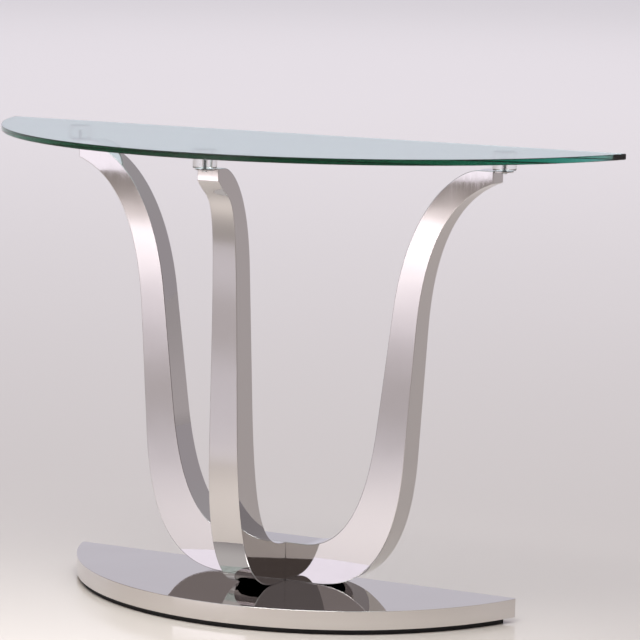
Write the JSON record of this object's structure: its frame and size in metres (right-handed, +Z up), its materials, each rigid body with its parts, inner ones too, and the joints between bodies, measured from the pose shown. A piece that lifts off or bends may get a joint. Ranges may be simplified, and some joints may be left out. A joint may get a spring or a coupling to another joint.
{
  "type": "console table",
  "caption": "Half-moon console table with a clear glass top on clear discs, curved tapered mirror-steel legs and a low half-moon base",
  "frame": {"origin": "bottom centre of the whole table, on the floor, midway along its length and midway through its depth", "axes": "+Z up; X along the wall, the table's long way; +Y towards the wall, so the curved front faces -Y"},
  "size_m": [1.2, 0.4449, 0.808],
  "materials": {
    "tempered_glass": "clear float glass, green at the ground and polished edge",
    "clear_acrylic": "clear polished acrylic",
    "clear_vinyl": "soft clear vinyl",
    "black_rubber": "black, matt",
    "mirror_steel": "mirror-polished stainless steel",
    "raw_steel": "unpolished steel, hidden inside",
    "zinc_steel": "bright zinc plated",
    "fibreboard": "raw fibreboard, hidden inside",
    "black_board": "black laminated board, matt"
  },
  "bodies": {
    "root": {"glass_top": "tempered_glass", "clear_disc_left": "clear_acrylic", "clear_pad_left": "clear_vinyl", "gasket_left": "black_rubber", "clear_disc_right": "clear_acrylic", "clear_pad_right": "clear_vinyl", "gasket_right": "black_rubber", "clear_disc_front": "clear_acrylic", "clear_pad_front": "clear_vinyl", "gasket_front": "black_rubber", "disc_screws": "zinc_steel", "left_leg_cheek_front": "mirror_steel", "left_leg_cheek_back": "mirror_steel", "left_leg_outer_strip": "mirror_steel", "left_leg_inner_strip": "mirror_steel", "left_leg_end_cap": "mirror_steel", "left_leg_closing_plate": "raw_steel", "left_leg_foot_plate": "raw_steel", "right_leg_cheek_front": "mirror_steel", "right_leg_cheek_back": "mirror_steel", "right_leg_outer_strip": "mirror_steel", "right_leg_inner_strip": "mirror_steel", "right_leg_end_cap": "mirror_steel", "right_leg_closing_plate": "raw_steel", "right_leg_foot_plate": "raw_steel", "front_leg_cheek_left": "mirror_steel", "front_leg_cheek_right": "mirror_steel", "front_leg_outer_strip": "mirror_steel", "front_leg_inner_strip": "mirror_steel", "front_leg_end_cap": "mirror_steel", "front_leg_closing_plate": "raw_steel", "front_leg_foot_plate": "raw_steel", "base_top_sheet": "mirror_steel", "base_rim_band": "mirror_steel", "base_core": "fibreboard", "base_plinth": "black_board", "leg_bolts": "zinc_steel", "leg_bolt_washers": "zinc_steel", "plinth_screws": "zinc_steel"}
  },
  "joints": []
}
